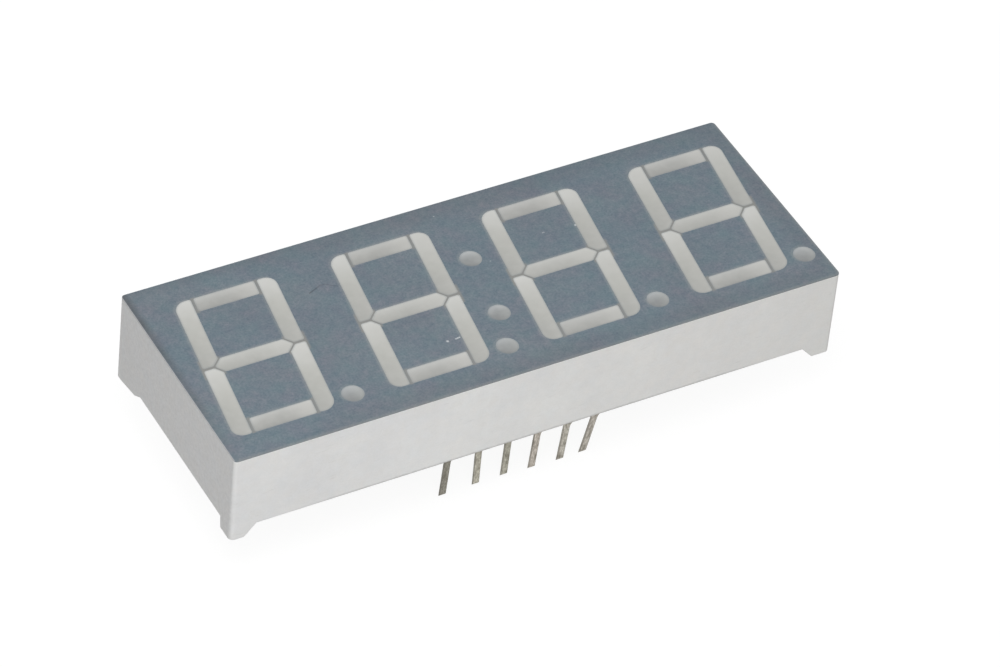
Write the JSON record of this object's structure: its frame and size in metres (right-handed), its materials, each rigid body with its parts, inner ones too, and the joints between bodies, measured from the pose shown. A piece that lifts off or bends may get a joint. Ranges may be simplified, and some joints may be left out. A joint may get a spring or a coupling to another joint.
{
  "type": "seven segment display module",
  "caption": "Seven segment LED clock display with a colon: white housing, grey face, pale lit areas, corner feet and two rows of flat pins.",
  "frame": {"origin": "middle of the module's outline, at the level of the pin tips, on which it stands", "axes": "+X along the digits towards the last one, +Y towards the tops of the digits, +Z out of the face"},
  "size_m": [0.0506, 0.0192, 0.0126],
  "materials": {
    "housing_plastic": "satin",
    "face_ink": "matte",
    "lens_epoxy": "satin",
    "board": "satin",
    "potting_epoxy": "gloss",
    "tinned_pin": "satin",
    "solder": "gloss",
    "led_chip": "gloss",
    "gold_wire": "gloss"
  },
  "bodies": {
    "root": {"housing": "housing_plastic", "face_mask": "face_ink", "circuit_board": "board", "potting": "potting_epoxy", "digit_1_segment_a": "lens_epoxy", "digit_1_segment_b": "lens_epoxy", "digit_1_segment_c": "lens_epoxy", "digit_1_segment_d": "lens_epoxy", "digit_1_segment_e": "lens_epoxy", "digit_1_segment_f": "lens_epoxy", "digit_1_segment_g": "lens_epoxy", "digit_2_segment_a": "lens_epoxy", "digit_2_segment_b": "lens_epoxy", "digit_2_segment_c": "lens_epoxy", "digit_2_segment_d": "lens_epoxy", "digit_2_segment_e": "lens_epoxy", "digit_2_segment_f": "lens_epoxy", "digit_2_segment_g": "lens_epoxy", "digit_3_segment_a": "lens_epoxy", "digit_3_segment_b": "lens_epoxy", "digit_3_segment_c": "lens_epoxy", "digit_3_segment_d": "lens_epoxy", "digit_3_segment_e": "lens_epoxy", "digit_3_segment_f": "lens_epoxy", "digit_3_segment_g": "lens_epoxy", "digit_4_segment_a": "lens_epoxy", "digit_4_segment_b": "lens_epoxy", "digit_4_segment_c": "lens_epoxy", "digit_4_segment_d": "lens_epoxy", "digit_4_segment_e": "lens_epoxy", "digit_4_segment_f": "lens_epoxy", "digit_4_segment_g": "lens_epoxy", "decimal_point_1": "lens_epoxy", "decimal_point_2": "lens_epoxy", "decimal_point_3": "lens_epoxy", "decimal_point_4": "lens_epoxy", "colon_upper": "lens_epoxy", "colon_lower": "lens_epoxy", "led_chips_digit_1": "led_chip", "led_chips_digit_2": "led_chip", "led_chips_digit_3": "led_chip", "led_chips_digit_4": "led_chip", "led_chips_colon": "led_chip", "bond_wires": "gold_wire", "solder_joints": "solder", "pin_1": "tinned_pin", "pin_2": "tinned_pin", "pin_3": "tinned_pin", "pin_4": "tinned_pin", "pin_5": "tinned_pin", "pin_6": "tinned_pin", "pin_7": "tinned_pin", "pin_8": "tinned_pin", "pin_9": "tinned_pin", "pin_10": "tinned_pin", "pin_11": "tinned_pin", "pin_12": "tinned_pin"}
  },
  "joints": []
}
